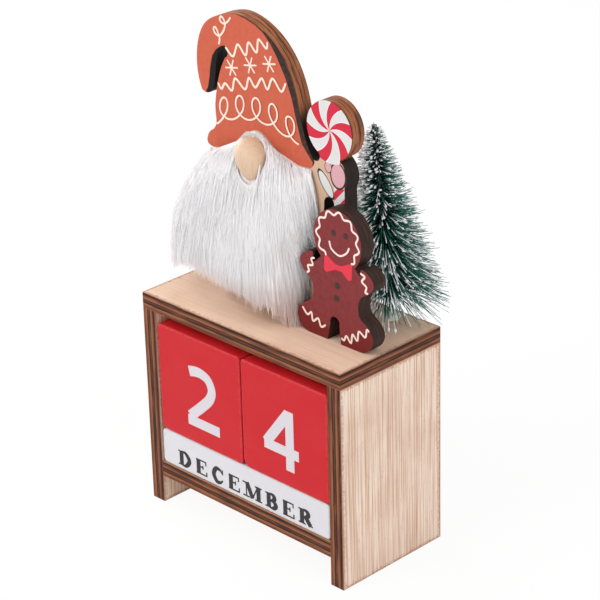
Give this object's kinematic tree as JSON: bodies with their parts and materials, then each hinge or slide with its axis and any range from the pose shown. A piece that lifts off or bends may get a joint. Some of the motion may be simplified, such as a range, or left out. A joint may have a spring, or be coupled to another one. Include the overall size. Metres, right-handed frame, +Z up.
{
  "type": "block calendar",
  "caption": "Desk calendar: a plywood cabinet with sliding date cubes and month bars, topped by a cut-out gnome with a fur beard, a gingerbread figure and a bottle-brush tree.",
  "frame": {"origin": "centre of the cabinet's footprint, on the surface that it stands on", "axes": "+X to the right along the front, +Y from the front to the back, +Z up"},
  "size_m": [0.0821, 0.0529, 0.1565],
  "materials": {
    "plywood": "bare laser-cut plywood with scorched edges",
    "red_paint": "satin red paint on wood, white numerals",
    "white_paint": "satin white paint on wood, black month names",
    "printed_gnome": "printed plywood cut-out, scorched edges",
    "printed_gingerbread": "printed plywood cut-out, scorched edges",
    "beard_cloth": "woven backing",
    "beard_fur": "long white faux fur",
    "nose_wood": "sanded bead",
    "stem_wire": "twisted wire",
    "bristle": "green bristles with frosted white tips",
    "glue": "set hot-melt glue"
  },
  "bodies": {
    "cabinet": {"top_board": "plywood", "left_side_panel": "plywood", "right_side_panel": "plywood", "shelf_board": "plywood", "gnome_plate": "printed_gnome", "gingerbread_plate": "printed_gingerbread", "beard_backing": "beard_cloth", "beard_pile": "beard_fur", "nose_bead": "nose_wood", "tree_stem": "stem_wire", "tree_bristles": "bristle", "gnome_glue": "glue", "gingerbread_glue": "glue", "tree_glue": "glue"},
    "date_cube_left": {"date_cube_left": "red_paint"},
    "date_cube_right": {"date_cube_right": "red_paint"},
    "month_bar_front": {"month_bar_front": "white_paint"},
    "month_bar_middle": {"month_bar_middle": "white_paint"},
    "month_bar_rear": {"month_bar_rear": "white_paint"}
  },
  "joints": [
    {"name": "date_cube_left_slide", "type": "slide", "parent": "cabinet", "child": "date_cube_left", "axis": [0, -1, 0], "range_m": [0, 0.0355]},
    {"name": "date_cube_right_slide", "type": "slide", "parent": "cabinet", "child": "date_cube_right", "axis": [0, -1, 0], "range_m": [0, 0.0355]},
    {"name": "month_bar_rear_slide", "type": "slide", "parent": "cabinet", "child": "month_bar_rear", "axis": [0, -1, 0], "range_m": [0, 0.0352]},
    {"name": "month_bar_middle_slide", "type": "slide", "parent": "month_bar_rear", "child": "month_bar_middle", "axis": [0, -1, 0], "range_m": [0, 0.02355]},
    {"name": "month_bar_front_slide", "type": "slide", "parent": "month_bar_middle", "child": "month_bar_front", "axis": [0, -1, 0], "range_m": [0, 0.0119]}
  ]
}
